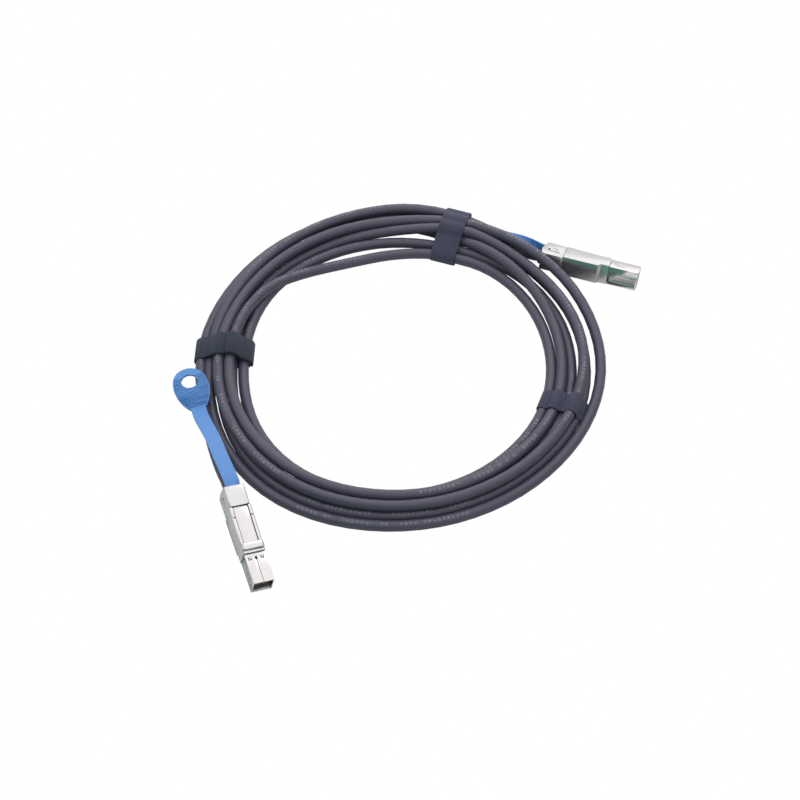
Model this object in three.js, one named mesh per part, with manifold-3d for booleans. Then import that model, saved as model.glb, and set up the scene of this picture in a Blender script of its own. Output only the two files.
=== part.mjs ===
// A coiled external data cable with a latching metal plug on each end and a pull tab on each plug.
// Units are millimetres, +Z is up and the cable lies on the plane z = 0.
// Built in the coil's own frame (its centre at x = 0, y = 0), then moved so that the origin is the
// bottom centre of the box round the plugs, tabs and straps.
// A plug has its own frame: +Y is the way it is pushed in, +Z its latch side, y = 0 its rear end.
import * as THREE from 'three';
import { mergeVertices } from 'three/addons/utils/BufferGeometryUtils.js';
import Module from 'manifold-3d';

const wasm = await Module();
wasm.setup();

// Clearances
const fit = 0.3; // between pieces that touch
const slideFit = 0.35; // beside and under the release slider
const cordFit = 0.4; // round the cable and between its solids
const through = 1; // how far a cutter runs past the face it opens
const joinStep = 0.1; // how much smaller one of two joined solids is, so that no faces coincide

// Cable and coil
const cableOd = 6.2;
const cableSides = 12;
const innerLane = 84.8; // centre line radius of the innermost turn
const floorLanes = 5; // turns side by side on the lower layer
const topLanes = 2; // turns nested on the upper layer
const firstTopLane = 1.5; // lanes from the innermost turn to the first nested one
const coilLift = 3.4; // clear height under the turns, where the straps and a tab pass
const nestRise = 5.37; // from the lower layer's centre line to the upper one's
const coilSegments = 64;
const laneSteps = 5;

// Plug envelope
const noseWidth = 11.4;
const noseHeight = 10.3;
const noseWall = 0.5;
const noseLength = 17.5;
const bodyLength = 39.7;
const bodyWidth = 12.1;
const hoodWidth = 11;
const hoodLength = 12;
const shellWall = 1.1;
const bellyDrop = 2.3; // how far the belly lies below the nose
const bellyLength = 33.5;
const bellyStep = 0.5; // height of the ridge along the belly
const bellyStepX = -1.3;
const rearTop = 14.1; // height of the latch side at the rear, above the nose's underside
const frontTop = 11.4; // and at the front of the body
const ribDrop = 0.5; // how far the front shell's two ribs lie below the hood's line
const rearSlant = 1.9; // how far the rear face bulges back
const rearVertexZ = 4.7;
const rearChamferY = 0.9;
const exitZ = 2.8; // height of the cable's exit
const edge = 0.35; // broken edges of the cast shells

// Release slider, latch and keeper
const releaseTravel = 2.5;
const sliderWidth = 8;
const sliderThickness = 1;
const sliderDepth = 1; // below the latch side's surface
const sliderFront = bodyLength - 6.1;
const sliderStepY = 9;
const sliderTongueY = 1;
const tongueDrop = 1.9;
const keeperY = bodyLength - 5.1;
const keeperDepth = 3.7;
const keeperHeight = 1.5;
const latchHalf = 4.1;
const latchArmWidth = 1.3;
const latchThickness = 0.45;
const latchZ = 8;
const latchPivotY = 25;
const hookY = bodyLength + fit + 2.4;
const hookLength = 1;
const windowLength = 1.5;

// Cards, wires and clamp
const cardThickness = 0.8;
const cardWidth = 9.2;
const cardWaist = 7.4; // where the carrier holds it
const cardRearY = 26;
const cardSetback = 1.4; // from the nose's mouth to the card edges
const upperCardZ = 6.1;
const lowerCardZ = 2.6;
const carrierY = 27.5;
const carrierLength = 5.5;
const wireRearY = 4;
const wireSpread = 1.5; // how far the wires have fanned out at the cards
const wireRise = 0.062;
const ferruleLength = 4.8;
const ferruleWall = 0.7;
const ferruleBore = 5;
const ferruleY = 3.5;
const grommetFlange = 1.1;
const screwRadius = 1.25;
const screwY = 7.6;

// Pull tab
const tabWidth = 8.4;
const tabThickness = 1.2;
const tabRootWidth = 7.8; // inside the plug
const eyeWidth = 20;
const eyeTop = 9.2; // from the finger hole's centre to the outer end
const eyeNeck = 19.6; // and to the neck
const holeRadius = 4.7;
const ribHeight = 0.25;
const ribPitch = 1.3;
const ribWidth = 0.6;
const ribMargin = 0.7;
const rivetRadius = 1.1;
const rivetY = 5;

// Hook and loop straps
const strapThickness = 1;
const strapWidth = 15;
const looseStrapWidth = 13;
const leftStrapAngle = 178; // round the coil, in degrees from +X
const topStrapAngle = 72;
const rightStrapAngle = -21;

// Places of the two plugs: heading, pitch and roll in degrees, then the place of the rear end
const nearPlug = { turn: [-160.6, -5.8, -10.9], place: [-93.87, -96.24, 6.97] };
const farPlug = { turn: [-107.9, 0, -115], place: [83.2, 69.2, 11.07] };

// The two uncoiled ends of the cable, from the plug to where they join the turns
const nearRoute = [
  [-98.6, -82.6, 10], [-101.6, -74.6, 9.2], [-105, -64, 8.2],
  [-108.4, -51.4, 7.2], [-111.6, -38, 6.7], [-114.1, -24, 6.6], [-115.8, -9, 6.6], [-116.2, 0, 6.6],
  [-115.6, 12, 6.6], [-113.8, 24, 6.6], [-110.8, 35.2, 6.6],
];
const farRoute = [
  [70.4, 78.2, 9.4], [62.7, 86.2, 8.4], [54.3, 94.1, 8], [44.9, 100.9, 8.4], [34.4, 105.9, 9.4],
  [19.3, 109.3, 10.8], [0, 110, 12.2], [-19, 107.5, 12.8],
];

// Tabs: places of the middle line from the plug's rear to the eye, and the direction of its upper face
const nearTab = [
  { at: [-99.6, -76, 18.4], up: [0.15, 0.1, 0.984] },
  { at: [-104.4, -63.6, 16.4], up: [0.1, 0.13, 0.986] },
  { at: [-109, -53.6, 14], up: [0.04, 0.1, 0.99] },
  { at: [-112.4, -46.4, 12.8], up: [0, 0.04, 0.999] },
];
const nearEye = [-120.6, -22.4, 12.5];
const farTab = [
  { at: [75.2, 86.6, 4.6], up: [0.13, 0.62, -0.77] },
  { at: [69, 91.2, 2.6], up: [0.06, 0.32, -0.945] },
  { at: [62, 95.2, 1.3], up: [0, 0.08, -0.997] },
  { at: [54, 98.8, 0.95], up: [0, 0, -1] },
  { at: [45, 102.4, 0.95], up: [0, 0, -1] },
  { at: [36.4, 105.2, 0.95], up: [0, 0, -1] },
];
const farEye = [18.4, 108.6, 0.95];

// Materials
const finish = (color, roughness, metalness) => new THREE.MeshStandardMaterial({ color, roughness, metalness });
const materials = {
  jacket: finish(0x3c3c4a, 0.62, 0),
  strap: finish(0x2a2a33, 0.9, 0),
  nickel: finish(0xd9dadc, 0.28, 0.9),
  stamped: finish(0xe2e3e6, 0.22, 0.95),
  spring: finish(0xb9bcc2, 0.3, 1),
  tab: finish(0x3f86dc, 0.45, 0),
  card: finish(0x1d5b3c, 0.5, 0.05),
  moulding: finish(0x22242a, 0.6, 0),
  wires: finish(0x8f9aa8, 0.4, 0.3),
  ferrule: finish(0xb58b4c, 0.35, 0.9),
  screw: finish(0x9a9da3, 0.35, 1),
};

const object = new THREE.Group();
const row = new THREE.Group();
row.add(object);

// Solids and booleans

/** Turns a closed geometry into a solid for cutting and joining. */
function solid(geometry) {
  const bare = geometry.index ? geometry.toNonIndexed() : geometry.clone();
  bare.deleteAttribute('normal');
  bare.deleteAttribute('uv');
  const merged = mergeVertices(bare, 1e-4);
  return new wasm.Manifold(new wasm.Mesh({
    numProp: 3,
    vertProperties: new Float32Array(merged.attributes.position.array),
    triVerts: new Uint32Array(merged.index.array),
  }));
}

/** Turns a solid back into a geometry. */
function geometryOf(body) {
  const mesh = body.getMesh();
  const geometry = new THREE.BufferGeometry();
  geometry.setAttribute('position', new THREE.BufferAttribute(new Float32Array(mesh.vertProperties), 3));
  geometry.setIndex(new THREE.BufferAttribute(new Uint32Array(mesh.triVerts), 1));
  geometry.computeVertexNormals();
  return geometry;
}

/** A box between two opposite corners. */
function block(x0, x1, y0, y1, z0, z1) {
  const geometry = new THREE.BoxGeometry(x1 - x0, y1 - y0, z1 - z0);
  return solid(geometry.translate((x0 + x1) / 2, (y0 + y1) / 2, (z0 + z1) / 2));
}

/** A side outline of [y, z] points, extruded across the plug from x0 to x1. */
function sideProfile(points, x0, x1) {
  const shape = new THREE.Shape(points.map(([y, z]) => new THREE.Vector2(y, z)));
  const geometry = new THREE.ExtrudeGeometry(shape, { depth: x1 - x0, bevelEnabled: false });
  const turn = new THREE.Matrix4().makeBasis(
    new THREE.Vector3(0, 1, 0), new THREE.Vector3(0, 0, 1), new THREE.Vector3(1, 0, 0));
  return solid(geometry.applyMatrix4(turn).translate(x0, 0, 0));
}

/** A round bar along the plug's length. */
function roundBar(radius, y0, y1, x, z, sides = 16) {
  const geometry = new THREE.CylinderGeometry(radius, radius, y1 - y0, sides);
  return solid(geometry.translate(x, (y0 + y1) / 2, z));
}

/** An upright round post. */
function post(radius, x, y, z0, z1, sides = 12) {
  const geometry = new THREE.CylinderGeometry(radius, radius, z1 - z0, sides);
  return solid(geometry.rotateX(Math.PI / 2).translate(x, y, (z0 + z1) / 2));
}

/** Height of the sloping latch side at a place along the plug. */
function topAt(y) {
  return rearTop + (frontTop - rearTop) * (y / bodyLength);
}

/** A strip between two depths under the sloping latch side. */
function slopeStrip(y0, y1, depth0, depth1, halfWidth) {
  const points = [
    [y0, topAt(y0) - depth1], [y1, topAt(y1) - depth1],
    [y1, topAt(y1) - depth0], [y0, topAt(y0) - depth0],
  ];
  return sideProfile(points, -halfWidth, halfWidth);
}

/** Breaks the long upper and lower edges of a shell of the given half width. */
function breakEdges(body, halfWidth, y0, y1, drop) {
  let cut = body;
  for (const side of [-1, 1]) {
    const size = edge * Math.SQRT2;
    for (const z of [(y) => topAt(y) - drop, () => -bellyDrop]) {
      const a = new THREE.Vector3(side * halfWidth, y0 - through, z(y0 - through));
      const b = new THREE.Vector3(side * halfWidth, y1 + through, z(y1 + through));
      const length = a.distanceTo(b);
      const bar = new THREE.BoxGeometry(size, length, size).rotateY(Math.PI / 4);
      bar.rotateX(Math.atan2(b.z - a.z, b.y - a.y));
      const middle = a.add(b).multiplyScalar(0.5);
      cut = cut.subtract(solid(bar.translate(middle.x, middle.y, middle.z)));
    }
  }
  return cut;
}

// Plug pieces, each in the plug's own frame

/** Rear half of the housing, which wraps the clamp and the tab's root. */
function rearHood() {
  const half = hoodWidth / 2;
  const outline = [
    [rearChamferY - rearSlant, -bellyDrop], [hoodLength, -bellyDrop], [hoodLength, topAt(hoodLength)],
    [edge, rearTop], [0, rearTop - edge], [-rearSlant, rearVertexZ],
  ];
  let hood = breakEdges(sideProfile(outline, -half, half), half, -rearSlant, hoodLength, 0);
  const room = sideProfile([
    [shellWall - rearSlant + 0.8, -bellyDrop + shellWall], [hoodLength + through, -bellyDrop + shellWall],
    [hoodLength + through, topAt(hoodLength + through) - sliderDepth + slideFit],
    [shellWall - 0.6, topAt(shellWall) - sliderDepth + slideFit], [shellWall - rearSlant + 0.2, rearVertexZ],
  ], -half + shellWall, half - shellWall);
  hood = hood.subtract(room);
  // Slot for the tab and hole for the cable, both through the rear wall
  const tabTop = sliderDepth - slideFit;
  hood = hood.subtract(slopeStrip(-rearSlant - through, 3, tabTop, sliderDepth + tabThickness + 2 * fit,
    tabRootWidth / 2 + slideFit));
  hood = hood.subtract(roundBar(cableOd / 2 + grommetFlange + fit, -rearSlant - through, 3, 0, exitZ, 20));
  hood = hood.subtract(block(-half + shellWall, half - shellWall, sliderTongueY - releaseTravel - slideFit, 4,
    topAt(0) - sliderDepth - tongueDrop - sliderThickness - 2 * slideFit, topAt(4) - sliderDepth + slideFit));
  // Screw hole in the belly, and the long slots and small marks in the sides
  const screwTop = -bellyDrop + shellWall + 0.4;
  hood = hood.subtract(post(screwRadius + slideFit, 0, screwY, -bellyDrop - through, screwTop, 14));
  for (const side of [-1, 1]) {
    const face = side * half;
    const depth = 0.75;
    const slot = sideProfile([
      [2, 6.2], [2, 3.2], [9, 2.2], [9, 2.9], [2.8, 3.8], [2.8, 6.2],
    ], face - depth, face + depth);
    const mark = sideProfile([[4.6, 7.2], [7.4, 6.7], [7.4, 6.1], [4.6, 6.6]], face - depth, face + depth);
    hood = hood.subtract(slot).subtract(mark);
  }
  return hood;
}

/** Front half of the housing, with the slider's channel and its two side ribs. */
function frontShell() {
  const half = bodyWidth / 2;
  const start = hoodLength + fit;
  const outline = [
    [start, -bellyDrop], [bellyLength, -bellyDrop], [bellyLength + bellyDrop * 0.6, -0.1],
    [bodyLength, 0], [bodyLength, topAt(bodyLength) - ribDrop], [start, topAt(start) - ribDrop],
  ];
  let shell = breakEdges(sideProfile(outline, -half, half), half, start, bodyLength, ribDrop);
  // The belly is a step higher on one side of a ridge
  shell = shell.subtract(block(-half - through, bellyStepX, start - through, bellyLength + through,
    -bellyDrop - through, -bellyDrop + bellyStep));
  const spigotHalf = hoodWidth / 2 - shellWall - fit;
  const spigotY = hoodLength - 3.2;
  const spigot = block(-spigotHalf, spigotHalf, spigotY, start + 1, -bellyDrop + shellWall + fit, 8.6);
  shell = shell.add(spigot);
  const roomHalf = spigotHalf - 0.8;
  const ceiling = topAt(sliderFront) - sliderDepth - sliderThickness - slideFit - 0.5;
  const floorEnd = bellyLength - 0.2;
  shell = shell.subtract(block(-roomHalf, roomHalf, spigotY - through, floorEnd, -0.2, 7.6));
  shell = shell.subtract(block(-roomHalf, roomHalf, floorEnd - 1, bodyLength + through, noseWall, 7.6));
  const wide = half - shellWall;
  shell = shell.subtract(block(-wide, wide, start + 2, floorEnd, 0.2, ceiling));
  shell = shell.subtract(block(-wide, wide, floorEnd - 1, bodyLength + through, noseWall, ceiling));
  // The channel that the release slider runs in
  const channelDepth = sliderDepth + sliderThickness + slideFit;
  const channelHalf = sliderWidth / 2 + slideFit;
  shell = shell.subtract(slopeStrip(hoodLength - 4, sliderFront + fit, -through, channelDepth, channelHalf));
  // Small notches at the rear of the two ribs
  for (const side of [-1, 1]) {
    const x = side * (half - 1.1);
    shell = shell.subtract(block(x - 0.4, x + 0.4, 18, 19, topAt(18) - ribDrop - 0.6, topAt(18) + through));
  }
  shell = shell.subtract(post(0.8, 0, screwY + 1.9, -bellyDrop - through, 0));
  return shell;
}

/** Folded sheet nose: an open-ended square tube with a butt seam, latch windows and side tongues. */
function noseShell() {
  const half = noseWidth / 2;
  const start = bodyLength + fit;
  const end = start + noseLength;
  const inner = half - noseWall;
  let nose = block(-half, half, start, end, 0, noseHeight);
  nose = nose.subtract(block(-inner, inner, start - through, end + through, noseWall, noseHeight - noseWall));
  // Tongues that hold the nose inside the front shell
  const tongueX = bodyWidth / 2 - shellWall - fit;
  for (const side of [-1, 1]) {
    const x0 = Math.min(side * tongueX, side * (tongueX - noseWall));
    const z0 = lowerCardZ + cardThickness + fit;
    const z1 = upperCardZ - fit;
    nose = nose.add(block(x0, x0 + noseWall, start - 4, start + 1, z0, z1));
    const j0 = Math.min(side * (tongueX - noseWall), side * half);
    nose = nose.add(block(j0, j0 + half - tongueX + noseWall, start, start + noseWall, z0, z1));
  }
  // Windows for the two hooks and the seam's relief, then the seam itself and the keying groove below
  const underTop = noseHeight - noseWall - 0.1;
  const aboveTop = noseHeight + through;
  for (const x of [-latchHalf + latchArmWidth / 2, 0, latchHalf - latchArmWidth / 2]) {
    const wide = x === 0 ? 0.6 : latchArmWidth / 2 + fit;
    nose = nose.subtract(block(x - wide, x + wide, hookY - fit, hookY + windowLength, underTop, aboveTop));
  }
  nose = nose.subtract(block(-0.12, 0.12, hookY + 1, end + through, underTop, aboveTop));
  nose = nose.subtract(block(-3.2, -1.6, start + 1.5, end - 1.2, -through, 0.25));
  for (const side of [-1, 1]) {
    nose = nose.subtract(block(side * half - 0.3, side * half + 0.3, start + 6.2, start + 8.4, 3.4, 4));
  }
  return nose;
}

/** Crosswise keeper bar with round ends, on top of the front shell. */
function keeperBar() {
  const half = bodyWidth / 2 - 0.1;
  const radius = keeperHeight * 0.45;
  const shape = new THREE.Shape();
  shape.moveTo(-half + radius, 0);
  shape.lineTo(half - radius, 0);
  shape.absarc(half - radius, radius, radius, -Math.PI / 2, 0, false);
  shape.absarc(half - radius - 0.4, keeperHeight - radius, radius, 0, Math.PI / 2, false);
  shape.lineTo(-half + radius + 0.4, keeperHeight);
  shape.absarc(-half + radius + 0.4, keeperHeight - radius, radius, Math.PI / 2, Math.PI, false);
  shape.absarc(-half + radius, radius, radius, Math.PI, 1.5 * Math.PI, false);
  const options = { depth: keeperDepth, bevelEnabled: false, curveSegments: 4 };
  const geometry = new THREE.ExtrudeGeometry(shape, options);
  geometry.rotateX(Math.PI / 2);
  geometry.translate(0, keeperY + keeperDepth, topAt(keeperY) - ribDrop + fit);
  return solid(geometry);
}

/** Stamped slider: a plate in the channel, stepped down at the rear to carry the tab. */
function releaseSlider() {
  const half = sliderWidth / 2;
  const top = (y) => topAt(y) - sliderDepth;
  const low = tongueDrop;
  const t = sliderThickness;
  const points = [
    [sliderTongueY, top(sliderTongueY) - low - t], [sliderStepY + 1.2, top(sliderStepY + 1.2) - low - t],
    [sliderStepY + 1.2, top(sliderStepY + 1.2) - t], [sliderFront, top(sliderFront) - t],
    [sliderFront, top(sliderFront)], [sliderStepY, top(sliderStepY)],
    [sliderStepY, top(sliderStepY) - low], [sliderTongueY, top(sliderTongueY) - low],
  ];
  const slider = sideProfile(points, -half, half);
  const seat = top(rivetY) - low;
  return slider.add(post(rivetRadius, 0, rivetY, seat - 0.3, seat + tabThickness + fit - 0.1));
}

/** Latch spring: two arms joined across the rear, each with a hook that stands up through the nose. */
function latchArm() {
  const z0 = latchZ;
  const z1 = z0 + latchThickness;
  let latch = block(-latchHalf, latchHalf, latchPivotY - 1.5, latchPivotY + 2.5, z0, z1);
  for (const side of [-1, 1]) {
    const x0 = Math.min(side * latchHalf, side * (latchHalf - latchArmWidth));
    latch = latch.add(block(x0, x0 + latchArmWidth, latchPivotY, hookY + hookLength, z0, z1));
    const hook = sideProfile([[hookY, z0], [hookY + hookLength, z0], [hookY + hookLength, noseHeight],
      [hookY, noseHeight + 0.5]], x0, x0 + latchArmWidth);
    latch = latch.add(hook);
  }
  return latch;
}

/** A contact card that runs from the wires to just inside the nose's mouth. */
function contactCard(z) {
  const end = bodyLength + fit + noseLength - cardSetback;
  const bevel = 0.25;
  const outline = [
    [cardRearY, z], [end - bevel * 2, z], [end, z + bevel], [end, z + cardThickness - bevel],
    [end - bevel * 2, z + cardThickness], [cardRearY, z + cardThickness],
  ];
  const waistFront = carrierY + carrierLength + 2.2;
  let card = sideProfile(outline, -cardWidth / 2, cardWidth / 2);
  for (const side of [-1, 1]) {
    const x = side * (cardWaist / 2 + 2);
    card = card.subtract(block(x - 2, x + 2, cardRearY - through, waistFront, z - through, z + 2));
  }
  return card;
}

/** Moulded block that holds the two cards apart inside the front shell. */
function cardCarrier() {
  const half = bodyWidth / 2 - shellWall - fit;
  const carrierTop = upperCardZ + cardThickness + fit + 0.35;
  let carrier = block(-half, half, carrierY, carrierY + carrierLength, 0.5, carrierTop);
  for (const z of [upperCardZ, lowerCardZ]) {
    carrier = carrier.subtract(block(-cardWaist / 2 - fit, cardWaist / 2 + fit, carrierY - through,
      carrierY + carrierLength + through, z - fit, z + cardThickness + fit));
  }
  return carrier;
}

/** Shielded pairs fanned out from the clamp to the cards, taken as one tapering body. */
function wireFan() {
  const front = cardRearY - fit;
  const rear = ferruleBore / 2 - 2 * fit;
  const points = [[0, wireRearY], [rear, wireRearY], [rear, ferruleY + ferruleLength + 1], [rear + wireSpread, 22],
    [rear + wireSpread, front], [0, front]];
  const geometry = new THREE.LatheGeometry(points.map(([r, y]) => new THREE.Vector2(r, y)), 16);
  const lean = new THREE.Matrix4().set(1, 0, 0, 0, 0, 1, 0, 0, 0, wireRise, 1, exitZ - wireRise * wireRearY, 0, 0, 0, 1);
  return solid(geometry.applyMatrix4(lean)).intersect(block(-3.4, 3.4, wireRearY, front, 0.2, 7.2));
}

/** Crimped ring that grips the braid just inside the hood. */
function ferrule() {
  const inner = ferruleBore / 2;
  const outer = inner + ferruleWall;
  const points = [[inner, 0], [outer, 0], [outer, ferruleLength - 0.5], [outer - 0.35, ferruleLength],
    [inner, ferruleLength], [inner, 0]];
  const geometry = new THREE.LatheGeometry(points.map(([r, y]) => new THREE.Vector2(r, y)), 20);
  return solid(geometry.translate(0, ferruleY, exitZ));
}

/** Flanged rubber bush in the cable's exit hole. */
function grommet() {
  const inner = cableOd / 2 + fit;
  const outer = inner + grommetFlange - fit;
  const back = -rearSlant - 0.9;
  const points = [[inner, 0], [outer - 0.3, 0], [outer, 0.5], [outer, 4.6], [inner, 4.6], [inner, 0]];
  const geometry = new THREE.LatheGeometry(points.map(([r, y]) => new THREE.Vector2(r, y)), 20);
  return solid(geometry.translate(0, back, exitZ));
}

/** Countersunk screw that joins the two halves from below. */
function shellScrew() {
  const geometry = new THREE.LatheGeometry([
    [0, 0], [screwRadius - 0.2, 0], [screwRadius, 0.2], [0.55, 1.1], [0.55, 1.35], [0, 1.35],
  ].map(([r, y]) => new THREE.Vector2(r, y)), 14);
  return solid(geometry.rotateX(Math.PI / 2).translate(0, screwY, -bellyDrop + 0.1));
}

// Pull tab

/** Smooth ribbon through rows of a place and an upward direction, as one closed strip. */
function ribbon(rows, thickness, steps) {
  const middle = new THREE.CatmullRomCurve3(rows.map((r) => new THREE.Vector3(...r.at)));
  const upward = new THREE.CatmullRomCurve3(rows.map((r) => new THREE.Vector3(...r.up)));
  const geometry = new THREE.BoxGeometry(1, 1, thickness, 1, steps, 1);
  const position = geometry.attributes.position;
  for (let i = 0; i < position.count; i += 1) {
    const along = position.getY(i) + 0.5;
    const tangent = middle.getTangent(along);
    const across = new THREE.Vector3().crossVectors(tangent, upward.getPoint(along)).normalize();
    const up = new THREE.Vector3().crossVectors(across, tangent).normalize();
    const flare = THREE.MathUtils.smoothstep(along, 0, 0.12);
    const width = THREE.MathUtils.lerp(tabRootWidth, tabWidth, flare) - joinStep;
    const point = middle.getPoint(along);
    point.addScaledVector(across, position.getX(i) * width);
    point.addScaledVector(up, position.getZ(i));
    position.setXYZ(i, point.x, point.y, point.z);
  }
  return solid(geometry);
}

/** Outline of the tab's eye: round at the outer end and drawn in to the neck, shrunk by a margin. */
function eyeShape(margin) {
  const half = eyeWidth / 2 - margin;
  const neck = tabWidth / 2 - margin * 0.5;
  const shape = new THREE.Shape();
  shape.moveTo(-neck, -eyeNeck + margin);
  shape.lineTo(neck, -eyeNeck + margin);
  shape.bezierCurveTo(neck + 2.6, -eyeNeck + 2.4, half, -11, half, -3.4);
  shape.bezierCurveTo(half, 4, 6.2, eyeTop - margin, 0, eyeTop - margin);
  shape.bezierCurveTo(-6.2, eyeTop - margin, -half, 4, -half, -3.4);
  shape.bezierCurveTo(-half, -11, -neck - 2.6, -eyeNeck + 2.4, -neck, -eyeNeck + margin);
  return shape;
}

/** The tab's flat eye with its finger hole and its cross ribs on both faces. */
function tabEye() {
  const flat = (shape, depth, z) => {
    const geometry = new THREE.ExtrudeGeometry(shape, { depth, bevelEnabled: false, curveSegments: 8 });
    return solid(geometry.translate(0, 0, z));
  };
  let eye = flat(eyeShape(0), tabThickness, -tabThickness / 2);
  const ribDepth = tabThickness + 2 * ribHeight;
  let ribs = null;
  for (let y = -eyeNeck + 1.72; y < 3.2; y += ribPitch) {
    const rib = block(-eyeWidth, eyeWidth, y, y + ribWidth, -ribDepth / 2, ribDepth / 2);
    ribs = ribs ? ribs.add(rib) : rib;
  }
  eye = eye.add(ribs.intersect(flat(eyeShape(ribMargin), ribDepth * 2, -ribDepth)));
  return eye.subtract(post(holeRadius, 0, 0, -3, 3, 24));
}

/** Depth of the tab's upper face below the latch side, inside the plug. */
function tabDepth() {
  return sliderDepth + (tongueDrop - tabThickness) / 2;
}

/** Where the tab leaves the plug, as rows for the ribbon: the middle of its thickness and its upper side. */
function tabStart(frame) {
  const slope = Math.atan2(frontTop - rearTop, bodyLength);
  const up = new THREE.Vector3(0, -Math.sin(slope), Math.cos(slope)).transformDirection(frame.matrixWorld);
  return [-rearSlant + 1.2, -rearSlant - 2].map((y) => {
    const z = topAt(y) - tabDepth() - tabThickness / 2;
    const at = new THREE.Vector3(0, y, z).applyMatrix4(frame.matrixWorld);
    return { at: at.toArray(), up: up.toArray() };
  });
}

/** A whole tab: the strap from the plug's rear and the eye at its end. */
function pullTab(rows, eyeAt, steps) {
  const last = new THREE.Vector3(...rows[rows.length - 1].at);
  const centre = new THREE.Vector3(...eyeAt);
  const forward = centre.clone().sub(last).setZ(0).normalize();
  const up = new THREE.Vector3(0, 0, 1);
  const across = new THREE.Vector3().crossVectors(forward, up);
  const join = centre.clone().addScaledVector(forward, -eyeNeck + 0.6);
  const strapRows = [...rows, { at: join.toArray(), up: rows[rows.length - 1].up }];
  const eye = solid(geometryOf(tabEye())
    .applyMatrix4(new THREE.Matrix4().makeBasis(across, forward, up).setPosition(centre)));
  return ribbon(strapRows, tabThickness - joinStep, steps).add(eye);
}

/** The tab's straight root inside the plug, in the plug's own frame. */
function tabRoot() {
  const depth = tabDepth();
  const root = slopeStrip(-rearSlant + 0.15, sliderStepY - fit, depth, depth + tabThickness, tabRootWidth / 2);
  return root.subtract(post(rivetRadius + fit, 0, rivetY, 0, rearTop + 2));
}

// Cable

/** A stretch of the cable along chosen points. */
function cableRun(route, diameter) {
  const curve = new THREE.CatmullRomCurve3(route.map((p) => new THREE.Vector3(...p)));
  const section = new THREE.Shape();
  for (let i = 0; i < cableSides; i += 1) {
    const angle = (i / cableSides) * 2 * Math.PI;
    const corner = [Math.cos(angle) * diameter / 2, Math.sin(angle) * diameter / 2];
    if (i === 0) section.moveTo(...corner);
    else section.lineTo(...corner);
  }
  section.closePath();
  const steps = Math.max(4, Math.round(curve.getLength() / (cableOd * 1.2)));
  return solid(new THREE.ExtrudeGeometry(section, { steps, extrudePath: curve, bevelEnabled: false }));
}

/** An end of the cable from inside its plug's bush out to the turns. */
function tailRoute(spot, route) {
  const frame = plugFrame(spot);
  const place = (y) => new THREE.Vector3(0, y, exitZ).applyMatrix4(frame.matrixWorld).toArray();
  const inside = [1.2, -3, -8.6].map(place);
  return [...inside, ...route];
}

/** Centre lines of the turns that show on the coil's outside: [radius, height]. */
function laneCentres() {
  const floor = Array.from({ length: floorLanes }, (_, i) => [innerLane + i * cableOd, coilLift + cableOd / 2]);
  const top = Array.from({ length: topLanes }, (_, i) =>
    [innerLane + (firstTopLane + i) * cableOd, coilLift + cableOd / 2 + nestRise]);
  return { floor, top };
}

/** Section of the coil: a flat underside with the turns' round backs above. */
function coilSection() {
  const { floor, top } = laneCentres();
  const radius = cableOd / 2;
  const points = [];
  const arc = ([r, z], from, to) => {
    for (let i = 0; i <= laneSteps; i += 1) {
      const angle = THREE.MathUtils.degToRad(from + (to - from) * (i / laneSteps));
      points.push(new THREE.Vector2(r + radius * Math.cos(angle), z + radius * Math.sin(angle)));
    }
  };
  points.push(new THREE.Vector2(floor[0][0] - radius * 0.5, coilLift));
  points.push(new THREE.Vector2(floor[floorLanes - 1][0] + radius * 0.5, coilLift));
  arc(floor[4], -30, 150);
  arc(floor[3], 30, 78);
  arc(top[1], -18, 150);
  arc(top[0], 30, 198);
  arc(floor[1], 102, 150);
  arc(floor[0], 30, 210);
  points.push(points[0].clone());
  return points;
}

/** The coil as one solid ring, relieved where the far plug's rear corner reaches in. */
function coilRing(relief) {
  const geometry = new THREE.LatheGeometry(coilSection(), coilSegments);
  return solid(geometry.rotateX(Math.PI / 2)).subtract(relief);
}

// Straps

/** Moves every side of a closed outline outwards by its own distance and meets the sides again. */
function widen(outline, distanceOf) {
  const count = outline.length;
  const sides = outline.map(([r, z], i) => {
    const [r2, z2] = outline[(i + 1) % count];
    const length = Math.hypot(r2 - r, z2 - z);
    const normal = [(z2 - z) / length, -(r2 - r) / length];
    const distance = distanceOf(z, z2);
    return { point: [r + normal[0] * distance, z + normal[1] * distance], along: [r2 - r, z2 - z] };
  });
  return sides.map((side, i) => {
    const before = sides[(i + count - 1) % count];
    const cross = before.along[0] * side.along[1] - before.along[1] * side.along[0];
    const dr = side.point[0] - before.point[0];
    const dz = side.point[1] - before.point[1];
    const t = (dr * side.along[1] - dz * side.along[0]) / cross;
    return [before.point[0] + before.along[0] * t, before.point[1] + before.along[1] * t];
  });
}

/** A band round the bundle: an outline of [radius, height] points, thickened outwards. */
function strapBand(inside, angle, width, underside) {
  const lowest = Math.min(...inside.map((point) => point[1]));
  const outside = widen(inside, (z, z2) => (z === lowest && z2 === lowest ? underside : strapThickness));
  const shape = new THREE.Shape(outside.map(([r, z]) => new THREE.Vector2(r, z)));
  shape.holes.push(new THREE.Path(inside.map(([r, z]) => new THREE.Vector2(r, z))));
  const geometry = new THREE.ExtrudeGeometry(shape, { depth: width, bevelEnabled: false });
  geometry.translate(0, 0, -width / 2).rotateX(Math.PI / 2).rotateZ(THREE.MathUtils.degToRad(angle));
  return solid(geometry);
}

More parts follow.
